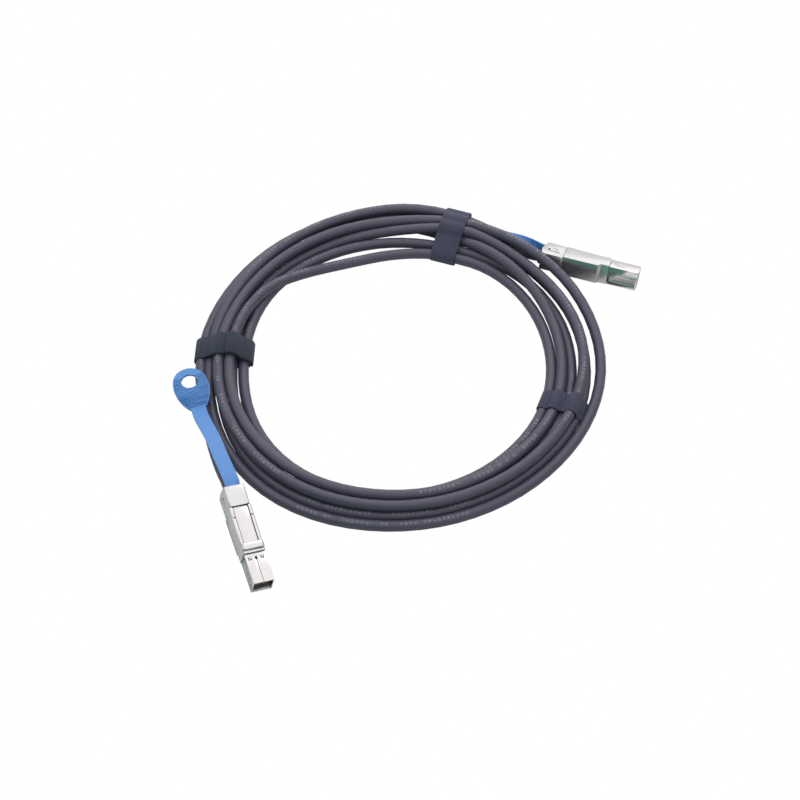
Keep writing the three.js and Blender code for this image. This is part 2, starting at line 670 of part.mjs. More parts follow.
/** Inner outlines of the three straps, from the turns that each one holds. */
function strapOutlines() {
  const { floor, top } = laneCentres();
  const reach = cableOd / 2 + cordFit;
  const innerR = floor[0][0] - reach - 0.4;
  const outerR = floor[floorLanes - 1][0] + reach;
  const low = coilLift - fit;
  const shoulder = floor[0][1] + reach;
  const high = top[0][1] + reach;
  const tailR = outerR + cableOd + cordFit;
  const tailTop = farRoute[4][2] + reach + fit;
  const tailOut = Math.hypot(farRoute[4][0], farRoute[4][1]) + reach + fit;
  const innerShoulder = [[top[0][0] - reach, high], [innerR + 2.4, shoulder + 1], [innerR, shoulder - 2]];
  return {
    left: [[innerR, low], [tailR, low], [tailR, shoulder - 2], [tailR - 1.8, shoulder], [outerR - 3, shoulder + 1.2],
      [top[1][0] + 2, high], ...innerShoulder],
    top: [[innerR, low], [tailOut, low], [tailOut, tailTop - 2.6], [tailOut - 2, tailTop], [top[1][0] + 2, high],
      ...innerShoulder],
    right: [[innerR, low], [outerR, low], [outerR, shoulder - 2], [outerR - 1.4, shoulder],
      [top[1][0] + 2, high], ...innerShoulder],
  };
}

// Assembly

/** Adds a named mesh to a group. */
function addPiece(group, name, body, material) {
  const mesh = new THREE.Mesh(geometryOf(body), material);
  mesh.name = name;
  group.add(mesh);
  return mesh;
}

/** A group placed and turned as a plug. */
function plugFrame({ turn, place }) {
  const group = new THREE.Group();
  const [heading, pitch, roll] = turn.map(THREE.MathUtils.degToRad);
  group.rotation.set(pitch, roll, heading, 'ZXY');
  group.position.set(...place);
  group.updateMatrixWorld(true);
  return group;
}

/** Every piece of one plug. The tab's root is joined to its strap in the coil's frame. */
function buildPlug(prefix, spot, tabRows, eyeAt) {
  const frame = plugFrame(spot);
  addPiece(frame, `${prefix}_rear_hood`, rearHood(), materials.nickel);
  addPiece(frame, `${prefix}_front_shell`, frontShell(), materials.nickel);
  addPiece(frame, `${prefix}_nose_shell`, noseShell(), materials.stamped);
  addPiece(frame, `${prefix}_keeper_bar`, keeperBar(), materials.nickel);
  addPiece(frame, `${prefix}_release_slider`, releaseSlider(), materials.stamped);
  addPiece(frame, `${prefix}_latch_spring`, latchArm(), materials.spring);
  addPiece(frame, `${prefix}_card_upper`, contactCard(upperCardZ), materials.card);
  addPiece(frame, `${prefix}_card_lower`, contactCard(lowerCardZ), materials.card);
  addPiece(frame, `${prefix}_card_carrier`, cardCarrier(), materials.moulding);
  addPiece(frame, `${prefix}_wire_fan`, wireFan(), materials.wires);
  addPiece(frame, `${prefix}_crimp_ferrule`, ferrule(), materials.ferrule);
  addPiece(frame, `${prefix}_grommet`, grommet(), materials.moulding);
  addPiece(frame, `${prefix}_shell_screw`, shellScrew(), materials.screw);
  object.add(frame);
  const root = solid(geometryOf(tabRoot()).applyMatrix4(frame.matrixWorld));
  const rows = [...tabStart(frame), ...tabRows];
  addPiece(object, `${prefix}_pull_tab`, pullTab(rows, eyeAt, 18).add(root), materials.tab);
}

buildPlug('near', nearPlug, nearTab, nearEye);
buildPlug('far', farPlug, farTab, farEye);

const reliefHalf = bodyWidth / 2 + cordFit;
const relief = solid(geometryOf(block(-reliefHalf, reliefHalf, -rearSlant - 4, 30, -bellyDrop - cordFit, rearTop))
  .applyMatrix4(plugFrame(farPlug).matrixWorld));
const nearTail = tailRoute(nearPlug, nearRoute);
const farTail = tailRoute(farPlug, farRoute);
addPiece(object, 'coil', coilRing(relief.add(cableRun(farTail, cableOd + 2 * cordFit))), materials.jacket);
addPiece(object, 'near_tail', cableRun(nearTail, cableOd), materials.jacket);
addPiece(object, 'far_tail', cableRun(farTail, cableOd), materials.jacket);

const outlines = strapOutlines();
const thick = coilLift - fit - 0.05;
const leftBand = strapBand(outlines.left, leftStrapAngle, strapWidth, thick);
const topBand = strapBand(outlines.top, topStrapAngle, strapWidth, strapThickness);
const rightBand = strapBand(outlines.right, rightStrapAngle, looseStrapWidth, thick);
addPiece(object, 'left_strap', leftBand, materials.strap);
addPiece(object, 'top_strap', topBand, materials.strap);
addPiece(object, 'right_strap', rightBand, materials.strap);

// The origin goes to the bottom centre of the box round everything but the cable's own three solids
const cable = ['coil', 'near_tail', 'far_tail'];
const bounds = new THREE.Box3();
for (const child of object.children) {
  if (!cable.includes(child.name)) bounds.expandByObject(child, true);
}
object.position.set(-(bounds.min.x + bounds.max.x) / 2, -(bounds.min.y + bounds.max.y) / 2, -bounds.min.z);
row.updateMatrixWorld(true);

export default row;
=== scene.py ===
"""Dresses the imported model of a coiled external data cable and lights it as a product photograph.

The plugs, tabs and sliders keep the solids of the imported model, with bevelled and smoothed copies where
an edge shows. The cable is one long cord whose turns are packed against each other under the straps.
Units are metres, except where a name ends in _MM.
"""

import logging
import math
from collections.abc import Callable
from dataclasses import dataclass, field
from enum import Enum

import bpy
import numpy as np
from mathutils import Matrix, Vector


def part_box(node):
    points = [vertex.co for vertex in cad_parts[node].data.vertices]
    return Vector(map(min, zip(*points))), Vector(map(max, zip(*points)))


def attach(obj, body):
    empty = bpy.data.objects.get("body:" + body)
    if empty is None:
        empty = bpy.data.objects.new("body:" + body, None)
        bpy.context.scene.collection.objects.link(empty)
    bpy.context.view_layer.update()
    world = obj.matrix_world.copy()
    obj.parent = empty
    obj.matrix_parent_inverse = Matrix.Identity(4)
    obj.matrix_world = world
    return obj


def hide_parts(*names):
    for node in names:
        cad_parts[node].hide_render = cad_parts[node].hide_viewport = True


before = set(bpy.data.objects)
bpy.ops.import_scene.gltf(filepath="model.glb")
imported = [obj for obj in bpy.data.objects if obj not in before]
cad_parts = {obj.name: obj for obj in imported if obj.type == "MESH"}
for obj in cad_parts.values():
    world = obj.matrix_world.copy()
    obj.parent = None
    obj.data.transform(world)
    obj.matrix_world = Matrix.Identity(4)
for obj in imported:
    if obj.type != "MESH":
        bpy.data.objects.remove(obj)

logging.basicConfig(level=logging.INFO, format="%(message)s")
log = logging.getLogger("scene")

Object = bpy.types.Object
Socket = bpy.types.NodeSocket
Outline = list[tuple[float, float]]  # points of radius and height
MM = 0.001

# Cable
CABLE_OD_MM = 6.2
CORD_SIDES = 20
CORD_SMOOTH_DEGREES = 50.0
STEPS_PER_TURN = 72
FLOOR_GAP_MM = 0.12

# Camera, as the photograph was taken
CAMERA_TILT = 35.5  # degrees from straight down
CAMERA_LENS = 78.08
CAMERA_SENSOR = 36.0
CAMERA_PLACE_MM = (-1.73, -599.81, 804.41)  # from the coil's centre


class Side(Enum):
    """The two ends of the cable."""

    NEAR = "near"
    FAR = "far"


def coil_centre() -> Vector:
    """Centre of the coil on the floor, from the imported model's solid ring.

    Returns:
        The centre in metres, at floor height.
    """
    low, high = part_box("coil")
    return Vector(((low.x + high.x) / 2, (low.y + high.y) / 2, 0.0))


CENTRE = coil_centre()


def from_coil(x_mm: float, y_mm: float, z_mm: float) -> Vector:
    """Turns a place in the coil's own frame, in millimetres, into the scene's, in metres.

    Args:
        x_mm: Distance to the right of the coil's centre.
        y_mm: Distance beyond it.
        z_mm: Height above the floor.

    Returns:
        The place.
    """
    return CENTRE + Vector((x_mm, y_mm, z_mm)) * MM


@dataclass(frozen=True)
class PlugPose:
    """Place and turn of a plug: heading, pitch and roll in degrees, rear end in the coil's frame."""

    heading: float
    pitch: float
    roll: float
    place_mm: tuple[float, float, float]

    def matrix(self) -> Matrix:
        """Matrix from the plug's own frame, in millimetres, to the scene."""
        turn = (
            Matrix.Rotation(math.radians(self.heading), 4, "Z")
            @ Matrix.Rotation(math.radians(self.pitch), 4, "X")
            @ Matrix.Rotation(math.radians(self.roll), 4, "Y")
        )
        return Matrix.Translation(from_coil(*self.place_mm)) @ turn @ Matrix.Scale(MM, 4)


POSES = {
    Side.NEAR: PlugPose(-160.6, -5.8, -10.9, (-93.87, -96.24, 6.97)),
    Side.FAR: PlugPose(-107.9, 0.0, -115.0, (83.2, 69.2, 11.07)),
}
EXIT_HEIGHT_MM = 2.8  # the cable's exit above the underside of the nose
INSIDE_PLUG_MM = (1.2, -3.0, -8.6)  # points along the plug's axis, from inside the bush outwards


# Small helpers


def only(obj: Object) -> None:
    """Deselects everything, then selects one object and makes it active."""
    bpy.ops.object.select_all(action="DESELECT")
    obj.select_set(True)
    bpy.context.view_layer.objects.active = obj


def mesh_object(name: str, points: list, faces: list) -> Object:
    """Makes a mesh object from points and faces, linked to the scene.

    Args:
        name: The object's name.
        points: Corners, in metres.
        faces: Lists of corner numbers.

    Returns:
        The new object, at the origin.
    """
    mesh = bpy.data.meshes.new(name)
    mesh.from_pydata([tuple(p) for p in points], [], faces)
    mesh.update()
    obj = bpy.data.objects.new(name, mesh)
    bpy.context.scene.collection.objects.link(obj)
    return obj


def tube_faces(rings: list[list[int]], closed: bool = False) -> list[tuple[int, ...]]:
    """Faces of a tube along rings of points.

    Args:
        rings: Corner numbers of each ring.
        closed: Whether the last ring meets the first; otherwise both ends are capped.

    Returns:
        Lists of corner numbers.
    """
    ahead = rings[1:] + rings[:1] if closed else rings[1:]
    faces = []
    for a, b in zip(rings, ahead):
        for k in range(len(a)):
            j = (k + 1) % len(a)
            faces.append((a[k], a[j], b[j], b[k]))
    return faces if closed else [*faces, tuple(reversed(rings[0])), tuple(rings[-1])]


def edit(obj: Object, *operations: Callable[[], object]) -> Object:
    """Runs mesh operations on all of an object in edit mode."""
    only(obj)
    bpy.ops.object.mode_set(mode="EDIT")
    bpy.ops.mesh.select_all(action="SELECT")
    for operation in operations:
        operation()
    bpy.ops.object.mode_set(mode="OBJECT")
    return obj


def face_outwards() -> None:
    """Turns the selected faces of the mesh in edit mode outwards."""
    bpy.ops.mesh.normals_make_consistent(inside=False)


def join(objects: list[Object]) -> Object:
    """Joins objects into the first one."""
    only(objects[0])
    for obj in objects:
        obj.select_set(True)
    bpy.ops.object.join()
    return objects[0]


def settle(obj: Object) -> Object:
    """Applies an object's place, turn and size, so that it sits at the origin."""
    only(obj)
    bpy.ops.object.transform_apply(location=True, rotation=True, scale=True)
    return obj


def smooth(obj: Object, angle: float) -> Object:
    """Shades an object smooth except over sharp edges."""
    only(obj)
    bpy.ops.object.shade_smooth_by_angle(angle=math.radians(angle))
    return obj


def wear(obj: Object, material: bpy.types.Material) -> None:
    """Gives an object one material."""
    obj.data.materials.clear()
    obj.data.materials.append(material)


# Materials

GRAIN_DEPTH = 0.0001


class Nodes:
    """A short way to add and link the nodes of a material or a group."""

    def __init__(self, tree: bpy.types.NodeTree):
        self.tree = tree

    def add(self, kind: str, inputs: dict | None = None, **settings) -> bpy.types.Node:
        """Adds a node.

        Args:
            kind: The node's type name.
            inputs: Values or sockets for its inputs, by name or number.
            **settings: Properties of the node.

        Returns:
            The new node.
        """
        node = self.tree.nodes.new(kind)
        for key, value in settings.items():
            setattr(node, key, value)
        for key, value in (inputs or {}).items():
            if isinstance(value, Socket):
                self.tree.links.new(value, node.inputs[key])
            else:
                node.inputs[key].default_value = value
        return node

    def math(self, operation: str, *values: Socket | float, clamp: bool = False) -> Socket:
        """Adds a Math node and returns its output."""
        node = self.add("ShaderNodeMath", dict(enumerate(values)), operation=operation, use_clamp=clamp)
        return node.outputs[0]

    def mix(self, factor: Socket | float, a: Socket | tuple, b: Socket | tuple) -> Socket:
        """Adds a colour Mix node.

        Args:
            factor: Share of the second colour.
            a: First colour.
            b: Second colour.

        Returns:
            The mixed colour.
        """
        return self.add("ShaderNodeMix", {0: factor, 6: a, 7: b}, data_type="RGBA").outputs[2]

    def object_place(self) -> Socket:
        """Adds object coordinates and returns their output."""
        return self.add("ShaderNodeTexCoord").outputs["Object"]

    def noise(self, scale: Socket | float, detail: float, **more: float) -> Socket:
        """Adds noise in object space and returns its value."""
        inputs = {"Vector": self.object_place(), "Scale": scale, "Detail": detail, **more}
        return self.add("ShaderNodeTexNoise", inputs).outputs[0]

    def step(self, value: Socket, low: float, high: float) -> Socket:
        """Maps a range smoothly onto 0 to 1.

        Args:
            value: What is mapped.
            low: Where the result is 0.
            high: Where it is 1.

        Returns:
            The mapped value.
        """
        span = {"Value": value, "From Min": low, "From Max": high}
        return self.add("ShaderNodeMapRange", span, interpolation_type="SMOOTHSTEP").outputs["Result"]


def empty_nodes(owner: bpy.types.Material | bpy.types.World) -> Nodes:
    """Clears the nodes of a material or of the surroundings and returns their helper."""
    owner.use_nodes = True
    owner.node_tree.nodes.clear()
    return Nodes(owner.node_tree)


def color_group(name: str, values: dict[str, float]) -> tuple[bpy.types.NodeTree, Nodes]:
    """Starts a node group that takes a colour and some values, and gives a colour.

    Args:
        name: The group's name.
        values: Names and defaults of the values that it takes.

    Returns:
        The group and the helper that adds its nodes.
    """
    group = bpy.data.node_groups.new(name, "ShaderNodeTree")
    face = group.interface
    face.new_socket("Color", in_out="INPUT", socket_type="NodeSocketColor")
    for label, value in values.items():
        socket = face.new_socket(label, in_out="INPUT", socket_type="NodeSocketFloat")
        socket.default_value = value
    face.new_socket("Color", in_out="OUTPUT", socket_type="NodeSocketColor")
    return group, Nodes(group)


def fine_grain_group() -> bpy.types.NodeTree:
    """Shared effect: grain in object space that varies a colour and its roughness, with a bump normal.

    Returns:
        The node group, made once.
    """
    name = "fine_grain"
    if name in bpy.data.node_groups:
        return bpy.data.node_groups[name]
    defaults = {"Scale": 900.0, "Variation": 0.1, "Roughness": 0.4, "Bump": 0.2, "Edge": 0.0002}
    group, n = color_group(name, defaults)
    group.interface.new_socket("Roughness", in_out="OUTPUT", socket_type="NodeSocketFloat")
    group.interface.new_socket("Normal", in_out="OUTPUT", socket_type="NodeSocketVector")
    given = n.add("NodeGroupInput").outputs
    grain = n.noise(given["Scale"], 4.0)
    broad = n.noise(55.0, 3.0)
    tone = n.math("ADD", n.math("MULTIPLY", grain, 0.5), n.math("MULTIPLY", broad, 0.5))
    offset = n.math("MULTIPLY", n.math("SUBTRACT", tone, 0.5), given["Variation"])
    bright = n.math("ADD", 1.0, n.math("MULTIPLY", offset, 2.0))
    tinted = n.add("ShaderNodeHueSaturation", {"Color": given["Color"], "Value": bright})
    rough = n.math("ADD", given["Roughness"], offset, clamp=True)
    edge = n.add("ShaderNodeBevel", {"Radius": given["Edge"]}, samples=4)
    relief = {"Height": grain, "Strength": given["Bump"], "Distance": GRAIN_DEPTH}
    bump = n.add("ShaderNodeBump", {**relief, "Normal": edge.outputs[0]})
    n.add("NodeGroupOutput", {"Color": tinted.outputs[0], "Roughness": rough, "Normal": bump.outputs[0]})
    return group


def painted_shade_group() -> bpy.types.NodeTree:
    """Shared effect: painted shade, which darkens a colour in seams, grooves and the gaps between pieces,
    where ambient occlusion finds close neighbours.

    Returns:
        The node group, made once.
    """
    name = "crease_shade"
    if name in bpy.data.node_groups:
        return bpy.data.node_groups[name]
    group, n = color_group(name, {"Distance": 0.001, "Darkness": 0.6})
    given = n.add("NodeGroupInput").outputs
    open_sky = n.add("ShaderNodeAmbientOcclusion", {"Distance": given["Distance"]}, samples=8).outputs["AO"]
    shade = n.math("MULTIPLY", n.math("SUBTRACT", 1.0, n.step(open_sky, 0.25, 0.95)), given["Darkness"])
    dark = n.add("ShaderNodeHueSaturation", {"Color": given["Color"], "Saturation": 1.15, "Value": 0.12})
    n.add("NodeGroupOutput", {"Color": n.mix(shade, given["Color"], dark.outputs[0])})
    return group


@dataclass(frozen=True)
class Finish:
    """Base of every finish: a colour under a fine grain."""

    name: str
    color: tuple[float, float, float]
    roughness: float = 0.5
    metallic: float = 0.0
    grain_scale: float = 900.0
    variation: float = 0.1
    bump: float = 0.15
    edge: float = 0.0002
    painted_shade_reach: float = 0.001  # reach of the painted shade in seams and gaps: how far a neighbour still darkens the surface, in metres
    painted_shade_darkness: float = 0.6

    def material(self) -> bpy.types.Material:
        """The finish's material, made once."""
        if self.name in bpy.data.materials:
            return bpy.data.materials[self.name]
        material = bpy.data.materials.new(self.name)
        material.diffuse_color = (*self.color, 1.0)
        n = empty_nodes(material)
        n.add("ShaderNodeOutputMaterial", {"Surface": self.surface(n)})
        return material

    def grained(self, n: Nodes, color: Socket | None = None) -> bpy.types.NodeOutputs:
        """Adds the shared grain group.

        Args:
            n: Helper of the material's nodes.
            color: Colour under the grain, or None for the finish's own.

        Returns:
            The group's outputs.
        """
        values = {
            "Color": (*self.color, 1.0) if color is None else color,
            "Scale": self.grain_scale,
            "Variation": self.variation,
            "Roughness": self.roughness,
            "Bump": self.bump,
            "Edge": self.edge,
        }
        return n.add("ShaderNodeGroup", values, node_tree=fine_grain_group()).outputs

    def with_painted_shade(self, n: Nodes, color: Socket | tuple) -> Socket:
        """Adds the shared painted shade in seams, grooves and gaps.

        Args:
            n: Helper of the material's nodes.
            color: Colour of the open surface.

        Returns:
            The shaded colour.
        """
        values = {"Color": color, "Distance": self.painted_shade_reach, "Darkness": self.painted_shade_darkness}
        return n.add("ShaderNodeGroup", values, node_tree=painted_shade_group()).outputs[0]

    def surface(self, n: Nodes) -> Socket:
        """Builds the nodes of the surface and returns the shader."""
        grain = self.grained(n)
        return self.principled(n, grain)

    def principled(self, n: Nodes, grain: bpy.types.NodeOutputs, **more: Socket | float | tuple) -> Socket:
        """Adds a Principled surface over the grain's outputs.

        Args:
            n: Helper of the material's nodes.
            grain: Outputs of the grain group.
            **more: Further inputs, or others in place of the grain's.

        Returns:
            The shader.
        """
        inputs = {
            "Base Color": grain["Color"],
            "Roughness": grain["Roughness"],
            "Metallic": self.metallic,
            "Normal": grain["Normal"],
        }
        inputs.update(more)
        return n.add("ShaderNodeBsdfPrincipled", inputs).outputs[0]


@dataclass(frozen=True)
class PlatedMetal(Finish):
    """Nickel plating with a fine grain and darker, handled patches."""

    metallic: float = 0.92
    smudge: float = 0.25
    # reach and strength of the painted shade in the metal's seams and gaps
    painted_shade_reach: float = 0.0016
    painted_shade_darkness: float = 0.85

    def surface(self, n: Nodes) -> Socket:
        """Plating whose roughness is raised by faint smudges."""
        patch = n.noise(90.0, 6.0, Roughness=0.6)
        amount = n.math("MULTIPLY", n.step(patch, 0.45, 0.75), self.smudge)
        dull = tuple(c * 0.8 for c in self.color)
        color = n.mix(amount, (*self.color, 1.0), (*dull, 1.0))
        # painted shade darkens the plating in seams and gaps, under the grain
        grain = self.grained(n, self.with_painted_shade(n, color))
        rough = n.math("ADD", grain["Roughness"], n.math("MULTIPLY", amount, 0.35), clamp=True)
        return self.principled(n, grain, Roughness=rough)


@dataclass(frozen=True)
class CableJacket(Finish):
    """Matte extruded jacket with faint printed dashes along its length. Lengths are in metres."""

    ink: tuple[float, float, float] = (0.15, 0.155, 0.18)
    period: float = 0.28
    printed: float = 0.36  # share of each period
    dash: float = 0.0026
    dash_share: float = 0.62
    print_side: float = 0.27  # in turns around the jacket
    print_half: float = 0.045

    def surface(self, n: Nodes) -> Socket:
        """Jacket with dashes placed by the cord's own UV map, in metres along and turns around."""
        uv = n.add("ShaderNodeUVMap", uv_map="route")
        parts = n.add("ShaderNodeSeparateXYZ", {"Vector": uv.outputs[0]}).outputs
        along = parts[1]
        block = n.math("LESS_THAN", n.math("FRACT", n.math("DIVIDE", along, self.period)), self.printed)
        cell = n.math("FRACT", n.math("DIVIDE", along, self.dash))
        dash = n.math("LESS_THAN", cell, self.dash_share)
        word = n.add("ShaderNodeTexNoise", {"Scale": 90.0, "W": along}, noise_dimensions="1D")
        spaced = n.math("GREATER_THAN", word.outputs[0], 0.46)
        aside = n.math("ABSOLUTE", n.math("SUBTRACT", parts[0], self.print_side))
        band = n.math("LESS_THAN", aside, self.print_half)
        ink = n.math("MULTIPLY", n.math("MULTIPLY", block, dash), n.math("MULTIPLY", spaced, band))
        ink = n.math("MULTIPLY", ink, n.step(n.noise(1400.0, 3.0), 0.3, 0.75))
        color = n.mix(ink, (*self.color, 1.0), (*self.ink, 1.0))
        grain = self.grained(n, color)
        matte = {"Specular IOR Level": 0.45, "Sheen Weight": 0.04, "Sheen Roughness": 0.5}
        return self.principled(n, grain, **matte)


@dataclass(frozen=True)
class WovenTape(Finish):
    """Hook and loop tape: a ribbed weave with a fuzzy surface."""

    rib: float = 0.0011

    def surface(self, n: Nodes) -> Socket:
        """Weave placed by the tape's own UV map, in metres across and along."""
        uv = n.add("ShaderNodeUVMap", uv_map="tape")
        parts = n.add("ShaderNodeSeparateXYZ", {"Vector": uv.outputs[0]}).outputs
        turn = 2 * math.pi
        ribs = n.math("SINE", n.math("MULTIPLY", parts[0], turn / self.rib))
        weft = n.math("SINE", n.math("MULTIPLY", parts[1], turn / (self.rib * 0.6)))
        wefts = n.math("ADD", n.math("MULTIPLY", weft, 0.4), 1.0)
        weave = n.math("MULTIPLY", n.math("ADD", ribs, 1.0), wefts)
        fuzz = n.noise(2600.0, 5.0)
        height = n.math("ADD", n.math("MULTIPLY", weave, 0.25), n.math("MULTIPLY", fuzz, 0.6))
        # painted highlight: the raised threads of the weave are painted lighter, with random lighter tone
        # from the fuzz
        light = tuple(min(1.0, c * 2.1) for c in self.color)
        color = n.mix(n.math("MULTIPLY", height, 0.7, clamp=True), (*self.color, 1.0), (*light, 1.0))
        grain = self.grained(n, color)
        relief = {"Height": height, "Strength": 0.7, "Distance": 0.0004, "Normal": grain["Normal"]}
        bump = n.add("ShaderNodeBump", relief)
        fuzzy = {"Sheen Weight": 0.08, "Sheen Roughness": 0.6, "Specular IOR Level": 0.2}
        return self.principled(n, grain, Normal=bump.outputs[0], **fuzzy)


@dataclass(frozen=True)
class MouldedTab(Finish):
    """Smooth flexible plastic that lets a little light in."""

    # reach and strength of the painted shade between the tab's ribs
    painted_shade_reach: float = 0.0009
    painted_shade_darkness: float = 0.55

    def surface(self, n: Nodes) -> Socket:
        """Plastic with a soft highlight, a slight glow inside and painted shade in the lines between the
        ribs.
        """
        grain = self.grained(n, self.with_painted_shade(n, (*self.color, 1.0)))
        return self.principled(
            n,
            grain,
            **{
                "Subsurface Weight": 0.12,
                "Subsurface Radius": (0.2, 0.5, 1.0),
                "Subsurface Scale": 0.001,
                "Specular IOR Level": 0.45,
                "Coat Weight": 0.15,
                "Coat Roughness": 0.25,
            },
        )


CAST = PlatedMetal(
    "plated_casting", (0.51, 0.495, 0.495), roughness=0.22, bump=0.1, variation=0.05, edge=0.00018
)
SHEET = PlatedMetal(
    "plated_sheet", (0.55, 0.52, 0.515), roughness=0.2, bump=0.05, variation=0.04, edge=0.0001
)
SPRING = PlatedMetal("spring_sheet", (0.6, 0.61, 0.63), roughness=0.3, bump=0.05)
JACKET = CableJacket(
    "cable_jacket", (0.044, 0.040, 0.067), roughness=0.48, bump=0.3, variation=0.12, grain_scale=1500.0
)
TAPE = WovenTape("woven_tape", (0.014, 0.018, 0.030), roughness=0.85, bump=0.2)
TAPE_SOFT = WovenTape("woven_tape_soft", (0.026, 0.026, 0.046), roughness=0.8, bump=0.2)
TAB = MouldedTab("moulded_tab", (0.034, 0.165, 0.44), roughness=0.38, bump=0.08, variation=0.05)
BOARD = Finish("card_laminate", (0.012, 0.040, 0.028), roughness=0.55, variation=0.2, bump=0.1)
GOLD = PlatedMetal("contact_gold", (0.80, 0.66, 0.38), roughness=0.5, bump=0.03, metallic=0.25)
MOULDING = Finish("black_moulding", (0.018, 0.019, 0.022), roughness=0.55)
WIRES = Finish("foil_pairs", (0.4, 0.43, 0.48), roughness=0.35, metallic=0.5, variation=0.4, bump=0.5)
FERRULE = PlatedMetal("crimped_ring", (0.7, 0.5, 0.25), roughness=0.3)
SCREW = PlatedMetal("screw_steel", (0.5, 0.5, 0.52), roughness=0.3)


# Camera and light


@dataclass(frozen=True)
class SoftLight:
    """A square area light: place and aim in millimetres from the coil's centre, size in metres."""

    name: str
    place_mm: tuple[float, float, float]
    size: float
    power: float
    aim_mm: tuple[float, float, float] = (0, 0, 0)

    def build(self) -> None:
        """Adds the light."""
        bpy.ops.object.light_add(type="AREA", location=from_coil(*self.place_mm))
        light = bpy.context.active_object
        light.name = self.name
        light.data.size = self.size
        light.data.energy = self.power
        aim = from_coil(*self.aim_mm) - light.location
        light.rotation_euler = aim.to_track_quat("-Z", "Y").to_euler()


LIGHTS = [
    SoftLight("overhead", (120, 160, 900), 1.8, 10.5),
    SoftLight("left_fill", (-800, 100, 500), 0.7, 1.6),
    SoftLight("front_fill", (250, -900, 420), 0.8, 2.0),
    SoftLight("back_sweep", (150, 820, 260), 1.3, 7.5, (150, 0, 0)),
]
FLOOR_SIZE = 6.0
FLOOR_DROP = 0.0003  # below the lowest point, so that nothing touches it
FLOOR_GREY = (0.7, 0.7, 0.7, 1.0)
PURE_WHITE = {"Color": (1.0, 1.0, 1.0, 1.0), "Strength": 1.0}
SKY_COLOR = (0.96, 0.98, 1.0, 1.0)
SKY_LOW = 0.26  # strength below the horizon
SKY_RISE = 0.36  # what is added overhead
# The green mat and card in front, which only the plugs' metal mirrors
CARD_GREEN = (0.05, 0.27, 0.20, 1.0)
MAT_START_MM = 150.0  # how far before the coil's centre the mat begins
MAT_FADE = 0.12  # metres over which its green comes in
CARD_PLACE_MM = (-175.0, -560.0, 232.0)
CARD_SIZE = (0.8, 0.46, 1.0)
CARD_TURN = -24.0


@dataclass
class Studio:
    """Camera, soft lights and a white ground."""

    def build_camera(self) -> None:
        """Adds the camera where the photograph was taken from."""
        place = from_coil(*CAMERA_PLACE_MM)
        bpy.ops.object.camera_add(location=place, rotation=(math.radians(CAMERA_TILT), 0.0, 0.0))
        camera = bpy.context.active_object
        camera.name = "photo_camera"
        camera.data.lens = CAMERA_LENS
        camera.data.sensor_width = CAMERA_SENSOR
        camera.data.clip_start = 0.01
        bpy.context.scene.camera = camera
        log.info("camera at %s", tuple(round(v, 4) for v in place))

    def camera_sees(self, n: Nodes, others: Socket, camera: Socket) -> Socket:
        """Gives the camera one shader and everything else another."""
        path = n.add("ShaderNodeLightPath").outputs
        return n.add("ShaderNodeMixShader", {0: path["Is Camera Ray"], 1: others, 2: camera}).outputs[0]

    def white_ground(self) -> None:
        """Adds a floor that is pure white to the camera; to all else it is grey, and green in front."""
        bpy.ops.mesh.primitive_plane_add(size=FLOOR_SIZE, location=(CENTRE.x, CENTRE.y, -FLOOR_DROP))
        floor = settle(bpy.context.active_object)
        floor.name = "studio_floor"
        material = bpy.data.materials.new("studio_white")
        n = empty_nodes(material)
        depth = n.add("ShaderNodeSeparateXYZ", {"Vector": n.object_place()}).outputs[1]
        start = CENTRE.y - MAT_START_MM * MM
        ahead = n.step(n.math("MULTIPLY", depth, -1.0), -start, -start + MAT_FADE)
        plain = n.add("ShaderNodeBsdfDiffuse", {"Color": n.mix(ahead, FLOOR_GREY, CARD_GREEN)})
        white = n.add("ShaderNodeEmission", PURE_WHITE)
        mixed = self.camera_sees(n, plain.outputs[0], white.outputs[0])
        n.add("ShaderNodeOutputMaterial", {"Surface": mixed})
        wear(floor, material)

    def world(self) -> None:
        """Pale surroundings, brighter above, and pure white to the camera."""
        world = bpy.data.worlds.new("studio_world")
        bpy.context.scene.world = world
        n = empty_nodes(world)
        direction = n.add("ShaderNodeTexCoord").outputs["Generated"]
        up = n.add("ShaderNodeSeparateXYZ", {"Vector": direction}).outputs[2]
        strength = n.math("ADD", SKY_LOW, n.math("MULTIPLY", n.step(up, -0.1, 0.9), SKY_RISE))
        around = n.add("ShaderNodeBackground", {"Color": SKY_COLOR, "Strength": strength})
        white = n.add("ShaderNodeBackground", PURE_WHITE)
        mixed = self.camera_sees(n, around.outputs[0], white.outputs[0])
        n.add("ShaderNodeOutputWorld", {"Surface": mixed})

    def green_card(self) -> None:
        """Adds the dark green card, out of view, that the far plug's underside reflects."""
        bpy.ops.mesh.primitive_plane_add(size=1.0)
        card = bpy.context.active_object
        card.name = "green_card"
        card.scale = CARD_SIZE
        card.rotation_euler = (math.radians(90.0), 0.0, math.radians(CARD_TURN))
        card.location = from_coil(*CARD_PLACE_MM)
        settle(card)
        material = bpy.data.materials.new("card_green")
        material.use_nodes = True
        shader = material.node_tree.nodes["Principled BSDF"]
        shader.inputs["Base Color"].default_value = CARD_GREEN
        shader.inputs["Roughness"].default_value = 0.9
        wear(card, material)
        card.visible_camera = False

    def build_light(self) -> None:
        """Adds the lights, the ground and the surroundings."""
        for light in LIGHTS:
            light.build()
        self.white_ground()
        self.green_card()
        self.world()
        view = bpy.context.scene.view_settings
        view.view_transform = "Standard"
        view.look = "None"
        view.exposure = 0.0
        view.gamma = 1.0


# Cable route


@dataclass(frozen=True)
class Key:
    """A place that the cable's centre passes. The height is the one before the straps lift it."""

    turn: int
    angle: float
    radius_mm: float
    height_mm: float = 3.1


